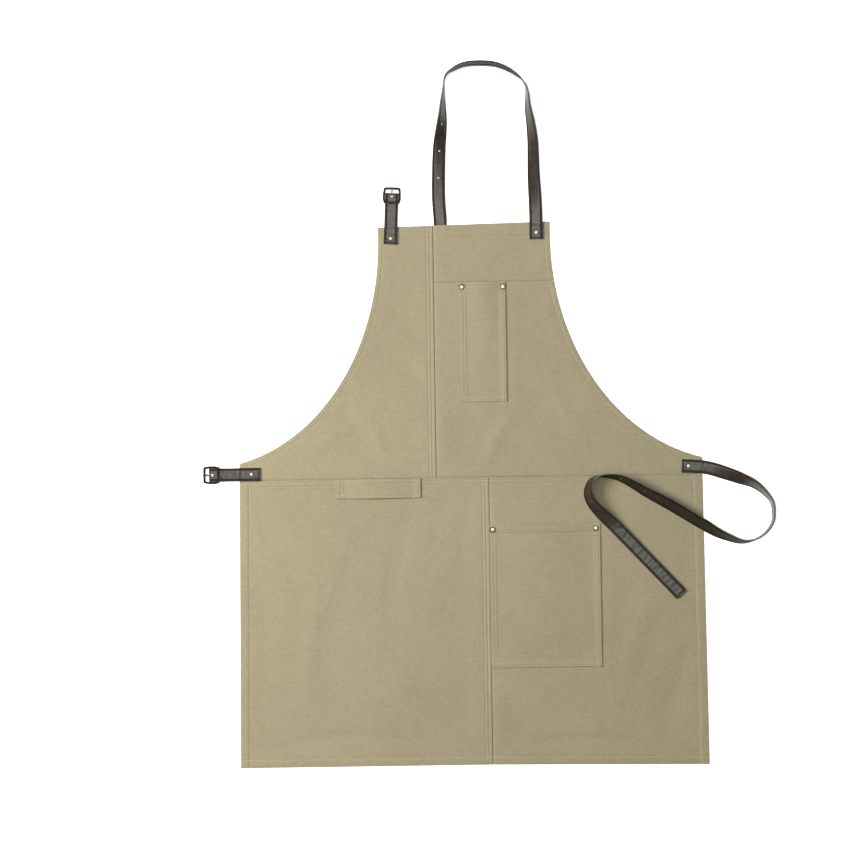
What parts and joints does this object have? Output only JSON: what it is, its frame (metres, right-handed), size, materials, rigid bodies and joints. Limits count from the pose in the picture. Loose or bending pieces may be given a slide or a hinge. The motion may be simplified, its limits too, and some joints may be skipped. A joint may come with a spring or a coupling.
{
  "type": "bib apron",
  "caption": "Canvas bib apron with patch pockets, a towel loop, a buckled leather neck strap and a leather waist strap, laid open on its back.",
  "frame": {"origin": "on the surface that the apron lies on, below the middle of the waist seam", "axes": "+Y from the waist seam towards the neck strap, +Z out of the apron's front, +X towards the side that the waist strap is sewn to"},
  "size_m": [0.8555, 1.0603, 0.0231],
  "materials": {
    "canvas": "matt plain-weave cotton canvas, khaki beige",
    "leather_face": "smooth dark brown leather with a low sheen",
    "leather_lining": "matt napped back of the leather, dark olive brown",
    "antique_brass": "darkened brass, rubbed bright on its high edges"
  },
  "bodies": {
    "apron": {"skirt_left_panel": "canvas", "skirt_right_panel": "canvas", "bib_left_panel": "canvas", "bib_right_panel": "canvas", "bib_yoke_panel": "canvas", "bib_pocket": "canvas", "skirt_pocket": "canvas", "towel_loop": "canvas", "neck_strap_face": "leather_face", "neck_strap_lining": "leather_lining", "waist_strap_face": "leather_face", "waist_strap_lining": "leather_lining", "neck_buckle_tab": "leather_face", "waist_buckle_tab": "leather_face", "bib_pocket_rivet_left_cap": "antique_brass", "bib_pocket_rivet_left_back": "antique_brass", "bib_pocket_rivet_right_cap": "antique_brass", "bib_pocket_rivet_right_back": "antique_brass", "skirt_pocket_rivet_left_cap": "antique_brass", "skirt_pocket_rivet_left_back": "antique_brass", "skirt_pocket_rivet_right_cap": "antique_brass", "skirt_pocket_rivet_right_back": "antique_brass", "neck_strap_rivet_cap": "antique_brass", "neck_strap_rivet_back": "antique_brass", "waist_strap_rivet_cap": "antique_brass", "waist_strap_rivet_back": "antique_brass", "neck_tab_rivet_cap": "antique_brass", "neck_tab_rivet_back": "antique_brass", "waist_tab_rivet_cap": "antique_brass", "waist_tab_rivet_back": "antique_brass"},
    "neck_buckle": {"neck_buckle_frame": "antique_brass"},
    "neck_prong": {"neck_buckle_prong": "antique_brass"},
    "waist_buckle": {"waist_buckle_frame": "antique_brass"},
    "waist_prong": {"waist_buckle_prong": "antique_brass"}
  },
  "joints": [
    {"name": "neck_buckle_tilt", "type": "hinge", "parent": "apron", "child": "neck_buckle", "pos_m": [-0.1123, 0.42607, 0.0041], "axis": [-0.9989, 0.0471, 0], "range_deg": [0, 80]},
    {"name": "neck_prong_lift", "type": "hinge", "parent": "neck_buckle", "child": "neck_prong", "pos_m": [-0.1123, 0.42607, 0.0041], "axis": [0.9989, -0.0471, 0], "range_deg": [0, 120]},
    {"name": "waist_buckle_tilt", "type": "hinge", "parent": "apron", "child": "waist_buckle", "pos_m": [-0.3906, 0.0095, 0.0041], "axis": [0, -1, 0], "range_deg": [0, 80]},
    {"name": "waist_prong_lift", "type": "hinge", "parent": "waist_buckle", "child": "waist_prong", "pos_m": [-0.3906, 0.0095, 0.0041], "axis": [0, 1, 0], "range_deg": [0, 120]}
  ]
}
